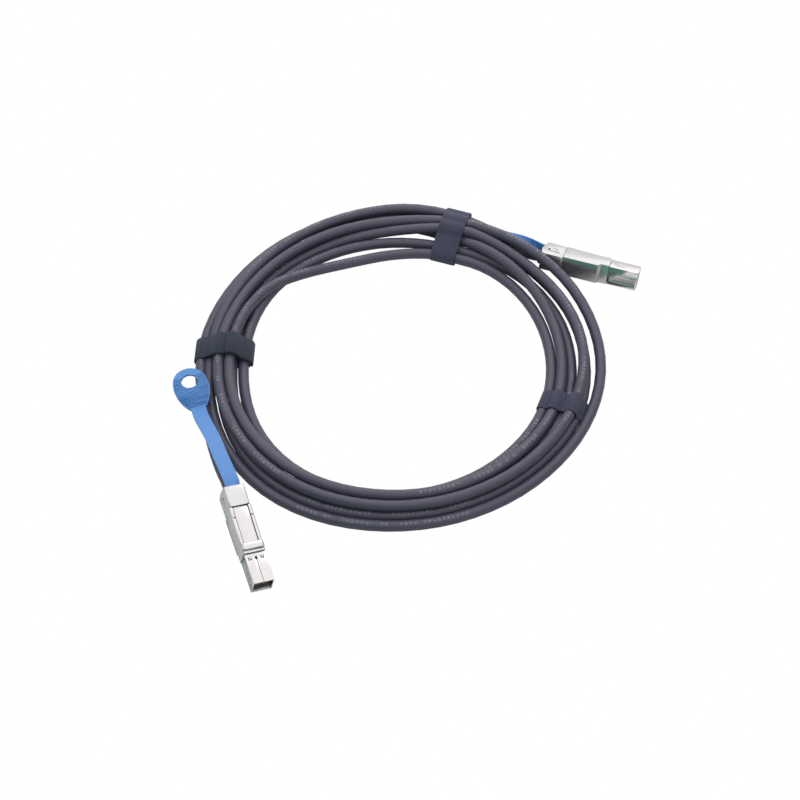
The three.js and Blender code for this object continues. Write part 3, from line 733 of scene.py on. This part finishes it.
# Rows of an angle, a radius and, off the floor layer, a height, by turn
TURN_ROWS = {
    0: [
        (180, 115.8), (150, 113.8), (120, 113.5), (90, 109), (75, 106.5), (60, 103.2), (48, 100.8),
        (36, 101.4), (20, 104), (0, 104.5), (-22, 106), (-45, 103.2), (-90, 105), (-135, 111.3),
    ],
    1: [
        (180, 103.3), (150, 105.5), (120, 104), (90, 102.5), (80, 98.5, 3.6), (70, 94, 5.2),
        (60, 91.5, 8.6), (45, 91.3, 9), (15, 90.8, 6), (0, 90.6, 5.5), (-22, 92.5, 5),
        (-45, 93.5, 7), (-90, 95.7, 9.2), (-135, 100.8, 9.2),
    ],
    2: [
        (180, 99.2, 9.2), (150, 94.5, 8.5), (132, 84, 5.2), (120, 79, 3.4), (90, 79), (60, 84.5),
        (45, 85), (0, 84.8), (-22, 86.5), (-45, 87.5), (-90, 92.5), (-135, 97),
    ],
    3: [
        (180, 90.9), (150, 93.1), (120, 91.5), (90, 88), (70, 88), (60, 89.8), (40, 93), (15, 96),
        (0, 96.2), (-22, 98), (-45, 97), (-90, 98.8), (-135, 105),
    ],
    4: [
        (180, 97.1), (150, 99.3), (120, 96), (90, 93.5, 8), (80, 95.5, 9.2), (70, 99, 9.5),
        (60, 99.5, 9.2), (45, 97.8, 9.4), (20, 102, 9.3), (0, 104, 9.3), (-22, 102, 8.6),
        (-45, 101, 8.6), (-90, 102, 8.5), (-135, 107.5, 8.6),
    ],
    5: [
        (180, 105.5, 9.2), (150, 102.4, 8.7), (120, 100.5, 9.2), (90, 99.8, 9.2), (75, 102.6, 9.4),
        (60, 104.8, 10.8), (50, 105.4, 12.8), (44, 106, 13.4), (39, 107.2, 13.4), (34, 108.6, 12.6),
        (28, 110.8, 10), (21, 111.9, 8), (14, 113, 6), (7, 114, 4.3), (0, 114.3, 3.3), (-22, 112),
        (-45, 109.5), (-90, 111.2), (-135, 117.5),
    ],
    6: [
        (180, 110, 5), (165, 109, 7.4), (150, 108.6, 8.6), (120, 108.5, 9.2), (90, 110, 8.6),
        (75, 111.2, 6.6), (66, 110.5, 4.9), (60, 108.6, 4.6), (54, 106.6, 5.2), (48, 105.4, 6.4),
    ],
}
ROUTE_KEYS = [Key(turn, *row) for turn, rows in TURN_ROWS.items() for row in rows]
FIRST_ANGLE = 180.0
# Uncoiled ends, in millimetres from the coil's centre
NEAR_ROUTE_MM = [
    (-98.6, -82.6, 10.0), (-101.6, -74.6, 9.2), (-105.0, -64.0, 8.2), (-108.4, -51.4, 7.2),
    (-111.6, -38.0, 6.7), (-114.1, -24.0, 6.6), (-115.8, -9.0, 6.6),
]
FAR_ROUTE_MM = [(70.4, 78.2, 9.4)]
STRAP_LIFTS_MM = {178.0: 1.7, 72.0: 3.5, -21.0: 1.7}  # by the angle of each strap
STRAP_REACH = 62.0  # degrees to each side over which a strap holds the cable up
SAG_LIFT_MM = 0.4
LIFT_SHIFT = 0.71  # how far back a raised cable lies for each millimetre of lift, to keep its outline


def strap_lift(angle: float) -> float:
    """How far the cable lies above the floor at an angle: held up by the straps, sagging between them."""
    best = SAG_LIFT_MM
    for strap, lift in STRAP_LIFTS_MM.items():
        away = abs((angle - strap + 180.0) % 360.0 - 180.0)
        best = max(best, SAG_LIFT_MM + (lift - SAG_LIFT_MM) * (1.0 - min(away / STRAP_REACH, 1.0) ** 2))
    return best


@dataclass
class CoilRoute:
    """The cable's centre line: wound turns that press against each other, and two uncoiled ends."""

    clearance_mm: float = 0.08
    rounds: int = 260
    last_rounds: int = 40  # which only push apart
    smoothing: float = 0.18
    pull: float = 0.06  # back towards the keys
    overlap: int = 4  # wound points that the curve of each end shares
    steps: int = 5  # fine points for each span of that curve
    radius: np.ndarray | None = None
    height: np.ndarray | None = None

    def samples(self) -> np.ndarray:
        """Angles wound so far, in turns from the first key, one for each sample."""
        last = ROUTE_KEYS[-1]
        end = last.turn + (FIRST_ANGLE - last.angle) / 360.0
        return np.arange(0, int(round(end * STEPS_PER_TURN)) + 1) / STEPS_PER_TURN

    def interpolate(self) -> None:
        """Runs smooth curves through the keys' radii and heights."""
        wound = np.array([k.turn + (FIRST_ANGLE - k.angle) / 360.0 for k in ROUTE_KEYS])
        at = self.samples()
        for name in ("radius_mm", "height_mm"):
            value = np.array([getattr(k, name) for k in ROUTE_KEYS])
            slope = np.gradient(value, wound)
            i = np.clip(np.searchsorted(wound, at, side="right") - 1, 0, len(wound) - 2)
            span = wound[i + 1] - wound[i]
            t = (at - wound[i]) / span
            h00, h10 = 2 * t**3 - 3 * t**2 + 1, t**3 - 2 * t**2 + t
            h01, h11 = -2 * t**3 + 3 * t**2, t**3 - t**2
            curve = h00 * value[i] + h10 * span * slope[i] + h01 * value[i + 1] + h11 * span * slope[i + 1]
            setattr(self, name.split("_")[0], curve)

    def push_apart(self, place: np.ndarray, need: float) -> float:
        """Moves turns that overlap apart, each by half of what is missing.

        Args:
            place: Radii and heights of the samples, which it changes.
            need: Distance that the centre lines need.

        Returns:
            The smallest distance that it met.
        """
        least = math.inf
        for lag in range(STEPS_PER_TURN, place.shape[1], STEPS_PER_TURN):
            gap = place[:, lag:] - place[:, :-lag]
            distance = np.maximum(np.hypot(*gap), 1e-6)
            least = min(least, float(distance.min()))
            push = 0.5 * np.maximum(need - distance, 0.0) * gap / distance
            place[:, lag:] += push
            place[:, :-lag] -= push
        return least

    def press(self) -> float:
        """Pushes turns that overlap apart, keeps them off the floor and smooths them.

        Returns:
            The smallest distance left between two turns, in millimetres.
        """
        need = CABLE_OD_MM + self.clearance_mm
        angle = FIRST_ANGLE - 360.0 * self.samples()
        floor = CABLE_OD_MM / 2 + np.array([strap_lift(a) for a in angle])
        self.height = self.height - CABLE_OD_MM / 2 + floor
        self.radius = self.radius - LIFT_SHIFT * (floor - CABLE_OD_MM / 2) * np.sin(np.radians(angle))
        aim = np.stack([self.radius, self.height])
        place = aim.copy()
        least = need
        for step in range(self.rounds):
            if step < self.rounds - self.last_rounds:
                place[:, 1:-1] += self.smoothing * (place[:, 2:] + place[:, :-2] - 2 * place[:, 1:-1])
                place += self.pull * (aim - place)
            least = self.push_apart(place, need)
            place[1] = np.maximum(place[1], floor)
        self.radius, self.height = place
        return least

    def wound_points(self) -> list[Vector]:
        """Centre line of the wound part."""
        points = []
        for turns, r, z in zip(self.samples(), self.radius, self.height):
            angle = math.radians(FIRST_ANGLE - 360.0 * turns)
            points.append(from_coil(r * math.cos(angle), r * math.sin(angle), z))
        return points

    def plug_points(self, side: Side) -> list[Vector]:
        """Straight stretch from inside a plug's bush outwards."""
        frame_of = POSES[side].matrix()
        return [frame_of @ Vector((0.0, y, EXIT_HEIGHT_MM)) for y in INSIDE_PLUG_MM]

    def points(self) -> list[Vector]:
        """The whole centre line, from the near plug to the far one."""
        self.interpolate()
        least = self.press()
        log.info("cable: smallest distance between turns %.2f mm", least)
        near = [*self.plug_points(Side.NEAR), *(from_coil(*p) for p in NEAR_ROUTE_MM)]
        far = [*(from_coil(*p) for p in FAR_ROUTE_MM), *reversed(self.plug_points(Side.FAR))]
        wound = self.wound_points()
        shared = self.overlap * self.steps
        start = smooth_through([*near, *wound[1 : self.overlap + 1]], self.steps)[:-shared]
        end = smooth_through([*wound[-2 * self.overlap :], *far], self.steps)[shared:]
        return [*start, *wound[1 : -self.overlap], *end]


def smooth_through(points: list[Vector], steps: int) -> list[Vector]:
    """A finer line through points that are far apart.

    Args:
        points: Places that the line passes.
        steps: How many points it has from one place to the next.

    Returns:
        Points of the line.
    """
    fine = []
    padded = [points[0] * 2 - points[1], *points, points[-1] * 2 - points[-2]]
    for a, b, c, d in zip(padded, padded[1:], padded[2:], padded[3:]):
        for i in range(steps):
            t = i / steps
            slope = (c - a) * t
            bend = (2 * a - 5 * b + 4 * c - d) * t**2
            twist = (3 * b - a - 3 * c + d) * t**3
            fine.append(0.5 * (2 * b + slope + bend + twist))
    fine.append(points[-1].copy())
    return fine


def path_length(points: list[Vector]) -> float:
    """Length of a line of points."""
    return sum((b - a).length for a, b in zip(points, points[1:]))


@dataclass
class DataCord:
    """The one cable, from plug to plug."""

    route: list[Vector] = field(default_factory=list)
    piece: Object | None = None

    def build(self) -> None:
        """Builds the cable as a closed tube with a UV map along its route."""
        self.route = CoilRoute().points()
        rings = []
        points = []
        radius = CABLE_OD_MM / 2 * MM
        up = Vector((0.0, 0.0, 1.0))
        count = len(self.route)
        for i, place in enumerate(self.route):
            ahead = (self.route[min(i + 1, count - 1)] - self.route[max(i - 1, 0)]).normalized()
            side = ahead.cross(up).normalized()
            top = side.cross(ahead).normalized()
            ring = []
            for k in range(CORD_SIDES):
                angle = 2 * math.pi * k / CORD_SIDES
                ring.append(len(points))
                points.append(place + side * (radius * math.cos(angle)) + top * (radius * math.sin(angle)))
            rings.append(ring)
        self.piece = mesh_object("data_cable", points, tube_faces(rings))
        self.map_route(len(rings))
        edit(self.piece, face_outwards)
        smooth(self.piece, CORD_SMOOTH_DEGREES)
        log.info("cable: %d rings, %.3f m long", len(rings), path_length(self.route))

    def map_route(self, count: int) -> None:
        """Writes the UV map: turns around the jacket, metres along it."""
        mesh = self.piece.data
        layer = mesh.uv_layers.new(name="route")
        along = [0.0]
        for a, b in zip(self.route, self.route[1:]):
            along.append(along[-1] + (b - a).length)
        for polygon in mesh.polygons:
            if polygon.loop_total > 4:
                continue
            sides = [mesh.loops[i].vertex_index % CORD_SIDES for i in polygon.loop_indices]
            wraps = max(sides) == CORD_SIDES - 1 and min(sides) == 0
            for i, side in zip(polygon.loop_indices, sides):
                ring = mesh.loops[i].vertex_index // CORD_SIDES
                turn = side / CORD_SIDES + (1.0 if wraps and side == 0 else 0.0)
                layer.data[i].uv = (turn, along[min(ring, count - 1)])

    def dress(self) -> None:
        wear(self.piece, JACKET.material())
        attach(self.piece, "root")
        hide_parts("coil", "near_tail", "far_tail")


# Straps


@dataclass
class TapeStrap:
    """A woven tape drawn round the bundle, with its free end lapped over.

    Attributes:
        node: The node that it stands in for.
        angle: Where it crosses the coil, in degrees.
        width_mm: Width of the tape.
        finish: Its weave.
        hold_mm: Radii between which it holds the turns.
        slack_mm: Room between turns and tape.
        lap_from: Where round the bundle the lapped end starts, in degrees.
        lap_degrees: How far that end goes.
        tight: How far the tape dips between turns, from 0 to 1.
        thick_mm: Thickness of the tape.
        piece: The finished strap.
    """

    STEPS = 72  # points of an outline
    DEEPEST_DIP_MM = 3.0
    LAP_GAP_MM = 0.05
    HEM_MM = 0.5  # margin that gets thinner towards the edge
    HEM_PINCH = 0.25
    SMOOTH_DEGREES = 40.0

    node: str
    angle: float
    width_mm: float
    finish: WovenTape
    hold_mm: tuple[float, float]
    slack_mm: float = 0.45
    lap_from: float = 200.0
    lap_degrees: float = 80.0
    tight: float = 0.35
    thick_mm: float = 1.0
    piece: Object | None = None

    def held(self, cord: DataCord) -> Outline:
        """Radius and height of each turn where the strap crosses the bundle."""
        centre = from_coil(0.0, 0.0, 0.0)
        direction = Vector((math.cos(math.radians(self.angle)), math.sin(math.radians(self.angle)), 0.0))
        across = Vector((-direction.y, direction.x, 0.0))
        found = []
        for a, b in zip(cord.route, cord.route[1:]):
            da, db = (a - centre).dot(across), (b - centre).dot(across)
            if da * db > 0 or (a - centre).dot(direction) < 0:
                continue
            t = da / (da - db) if da != db else 0.0
            place = a.lerp(b, t) - centre
            radius = place.dot(direction) / MM
            if self.hold_mm[0] < radius < self.hold_mm[1]:
                found.append((radius, place.z / MM))
        return found

    def rays(self) -> list[np.ndarray]:
        """Directions of radius and height at even angles all round."""
        angles = [2 * math.pi * i / self.STEPS for i in range(self.STEPS)]
        return [np.array([math.cos(phi), math.sin(phi)]) for phi in angles]

    def outline(self, discs: Outline, grow: float) -> Outline:
        """Outline of the bundle, grown outwards, as points of radius and height at even angles."""
        reach = CABLE_OD_MM / 2 + self.slack_mm + grow
        middle = np.mean(np.array(discs), axis=0)
        outline = []
        for ray in self.rays():
            hull = self.hull_distance(discs, middle, ray, reach)
            touch = self.touch_distance(discs, middle, ray, reach)
            away = hull + (max(touch, hull - self.DEEPEST_DIP_MM) - hull) * self.tight
            place = middle + ray * away
            outline.append((float(place[0]), max(float(place[1]), FLOOR_GAP_MM)))
        return outline

    def hull_distance(self, discs: list, middle: np.ndarray, ray: np.ndarray, reach: float) -> float:
        """Distance along a ray to a tape drawn straight across the turns."""
        best = 1e9
        for normal in self.rays():
            facing = float(normal @ ray)
            if facing > 0.05:  # the others meet the ray too far out to count
                support = max(float(normal @ (np.array(d) - middle)) for d in discs) + reach
                best = min(best, support / facing)
        return best

    def touch_distance(self, discs: list, middle: np.ndarray, ray: np.ndarray, reach: float) -> float:
        """Distance along a ray to the outermost jacket that it meets."""
        best = 0.0
        for disc in discs:
            offset = np.array(disc) - middle
            along = float(offset @ ray)
            aside = float(offset @ offset) - along**2
            if aside < reach**2:
                best = max(best, along + math.sqrt(reach**2 - aside))
        return best

    def band(self, inner: list, outer: list, closed: bool, name: str) -> Object:
        """A tape between two outlines, rounded a little across its width."""
        rows = []
        points = []
        half = self.width_mm / 2
        flat = half - self.HEM_MM
        across = [(-half, self.HEM_PINCH), (-flat, 0.0), (0.0, 0.0), (flat, 0.0), (half, self.HEM_PINCH)]
        turn = Matrix.Rotation(math.radians(self.angle), 4, "Z")
        uv = []
        along = 0.0
        last = None
        for (ri, zi), (ro, zo) in zip(inner, outer):
            if last is not None:
                along += math.hypot(ro - last[0], zo - last[1]) * MM
            last = (ro, zo)
            row = []
            for offset, pinch in [*across, *reversed(across)]:
                is_outer = len(row) < len(across)
                share = 1.0 - pinch if is_outer else pinch
                r = ri + (ro - ri) * share
                z = zi + (zo - zi) * share
                row.append(len(points))
                points.append(from_coil(0, 0, 0) + turn @ Vector((r * MM, offset * MM, z * MM)))
                uv.append((offset * MM, along))
            rows.append(row)
        piece = mesh_object(name, points, tube_faces(rows, closed))
        layer = piece.data.uv_layers.new(name="tape")
        for loop in piece.data.loops:
            layer.data[loop.index].uv = uv[loop.vertex_index]
        return smooth(edit(piece, face_outwards), self.SMOOTH_DEGREES)

    def build(self, cord: DataCord) -> None:
        """Builds the closed loop and the lapped end, joined as one piece."""
        discs = self.held(cord)
        log.info("%s: holds %d turns", self.node, len(discs))
        inner = self.outline(discs, 0.0)
        outer = self.outline(discs, self.thick_mm)
        loop = self.band(inner, outer, True, self.node + "_tape")
        step = 360.0 / self.STEPS
        start = int(self.lap_from / step)
        covered = [(start + i) % self.STEPS for i in range(int(self.lap_degrees / step))]
        under = self.outline(discs, self.thick_mm + self.LAP_GAP_MM)
        over = self.outline(discs, 2 * self.thick_mm + self.LAP_GAP_MM)
        ends = [[line[i] for i in covered] for line in (under, over)]
        lap = self.band(*ends, False, self.node + "_lap")
        self.piece = join([loop, lap])

    def dress(self) -> None:
        """Gives the strap its weave and hides the node that it replaces."""
        wear(self.piece, self.finish.material())
        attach(self.piece, "root")
        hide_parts(self.node)


# Plugs

# Boards and their contacts, in the plug's own frame
BOARD_LOW_MM = {"card_upper": 6.1, "card_lower": 2.6}  # height of the lower face
BOARD_THICK_MM = 0.8
BOARD_FRONT_MM = 56.1
FINGERS = 11
FINGER_PITCH_MM = 0.8
FINGER_WIDTH_MM = 0.46
FINGER_HEIGHT_MM = 0.03
FINGER_PROUD_MM = 0.012
FINGER_SETBACK_MM = 0.7
FINGER_BEVEL_MM = 0.01
SIGNAL_FINGER_MM = 5.2
GROUND_FINGER_MM = 6.0  # every third one is longer


@dataclass
class Plug:
    """One plug: finished copies of its solids, and the gold contacts on its two boards."""

    side: Side
    refined: dict[str, Object] = field(default_factory=dict)
    contact_sets: list[Object] = field(default_factory=list)

    MERGE_DISTANCE = 0.000002
    FLAT_DEGREES = 0.6  # faces that differ by less become one
    BEVEL_DEGREES = 32.0
    SMOOTH_DEGREES = 38.0
    # Bevel widths in metres for the pieces that show, 0 for none
    BEVELS = {
        "rear_hood": 0.00014,
        "front_shell": 0.00014,
        "nose_shell": 0.00007,
        "keeper_bar": 0.0001,
        "release_slider": 0.00008,
        "pull_tab": 0.0,
    }
    # Finish and slot name, then the parts that have them
    FINISHES = [
        (CAST, "cast_shell", "rear_hood", "front_shell", "keeper_bar"),
        (SHEET, "stamped_sheet", "nose_shell", "release_slider"),
        (SPRING, "spring_steel", "latch_spring"),
        (TAB, "tab", "pull_tab"),
        (BOARD, "board", "card_upper", "card_lower"),
        (MOULDING, "moulding", "card_carrier", "grommet"),
        (WIRES, "wires", "wire_fan"),
        (FERRULE, "ferrule", "crimp_ferrule"),
        (SCREW, "screw", "shell_screw"),
    ]

    def node(self, part: str) -> str:
        """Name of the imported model's node for a part of this plug."""
        return f"{self.side.value}_{part}"

    def body(self, part: str) -> str:
        """Name of the body that a part moves with."""
        if part in ("release_slider", "pull_tab"):
            return f"{self.side.value}_release"
        return f"{self.side.value}_latch_arm" if part == "latch_spring" else "root"

    def refine(self, part: str, width: float) -> None:
        """Makes a merged, bevelled and smoothed copy of a node, which stands in for it."""
        name = self.node(part)
        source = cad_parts[name]
        copy = bpy.data.objects.new(name + "_finished", source.data.copy())
        bpy.context.scene.collection.objects.link(copy)
        edit(
            copy,
            lambda: bpy.ops.mesh.remove_doubles(threshold=self.MERGE_DISTANCE),
            lambda: bpy.ops.mesh.dissolve_limited(angle_limit=math.radians(self.FLAT_DEGREES)),
        )
        if width > 0:
            bevel = copy.modifiers.new("edges", "BEVEL")
            bevel.width = width
            bevel.segments = 2
            bevel.limit_method = "ANGLE"
            bevel.angle_limit = math.radians(self.BEVEL_DEGREES)
            bevel.harden_normals = False
            bpy.ops.object.modifier_apply(modifier="edges")
        smooth(copy, self.SMOOTH_DEGREES)
        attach(copy, self.body(part))
        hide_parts(name)
        self.refined[part] = copy

    def finger(self, x: float, z: float, length: float) -> Object:
        """One gold contact, in millimetres in the plug's own frame."""
        y = BOARD_FRONT_MM - FINGER_SETBACK_MM - length / 2
        bpy.ops.mesh.primitive_cube_add(size=1.0, location=(x, y, z))
        finger = bpy.context.active_object
        finger.scale = (FINGER_WIDTH_MM, length, FINGER_HEIGHT_MM)
        settle(finger)
        return edit(finger, lambda: bpy.ops.mesh.bevel(offset=FINGER_BEVEL_MM, segments=1))

    def contacts(self, card: str) -> Object:
        """Gold contact fingers along the front edge of a board, on both faces."""
        low = BOARD_LOW_MM[card]
        fingers = []
        for z in (low + BOARD_THICK_MM + FINGER_PROUD_MM, low - FINGER_PROUD_MM):
            for i in range(FINGERS):
                x = (i - (FINGERS - 1) / 2) * FINGER_PITCH_MM
                fingers.append(self.finger(x, z, SIGNAL_FINGER_MM if i % 3 else GROUND_FINGER_MM))
        joined = join(fingers)
        joined.name = self.node(card + "_contacts")
        joined.data.transform(POSES[self.side].matrix())
        joined.data.update()
        return joined

    def build(self) -> None:
        """Builds the finished copies and the contacts."""
        for part, width in self.BEVELS.items():
            self.refine(part, width)
        self.contact_sets = [self.contacts(card) for card in BOARD_LOW_MM]
        log.info("%s plug: %d finished copies", self.side.value, len(self.refined))

    def dress(self) -> None:
        """Gives each piece and each node its finish."""
        for finish, slot, *parts in self.FINISHES:
            for part in parts:
                wear(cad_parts[self.node(part)], finish.material())
                if part in self.refined:
                    wear(self.refined[part], finish.material())
        for piece in self.contact_sets:
            wear(piece, GOLD.material())
            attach(piece, "root")


def dress_cable_nodes() -> None:
    """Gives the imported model's own cable and strap solids their finishes too."""
    for name in ("coil", "near_tail", "far_tail"):
        wear(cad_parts[name], JACKET.material())
    for name in ("left_strap", "top_strap", "right_strap"):
        wear(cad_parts[name], TAPE.material())


def main() -> None:
    """Builds the whole scene."""
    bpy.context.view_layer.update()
    studio = Studio()
    studio.build_camera()
    cord = DataCord()
    cord.build()
    cord.dress()
    straps = [
        TapeStrap("left_strap", 178.0, 15.0, TAPE, (70.0, 125.0), lap_from=100.0, lap_degrees=100.0),
        TapeStrap("top_strap", 72.0, 15.0, TAPE_SOFT, (70.0, 125.0), lap_from=240.0, lap_degrees=70.0),
        TapeStrap(
            "right_strap", -21.0, 13.0, TAPE_SOFT, (70.0, 109.0),
            slack_mm=0.15, lap_from=100.0, lap_degrees=60.0, tight=0.9, thick_mm=0.6,
        ),
    ]
    for strap in straps:
        strap.build(cord)
        strap.dress()
    for side in Side:
        plug = Plug(side)
        plug.build()
        plug.dress()
    dress_cable_nodes()
    studio.build_light()


if __name__ == "__main__":
    main()
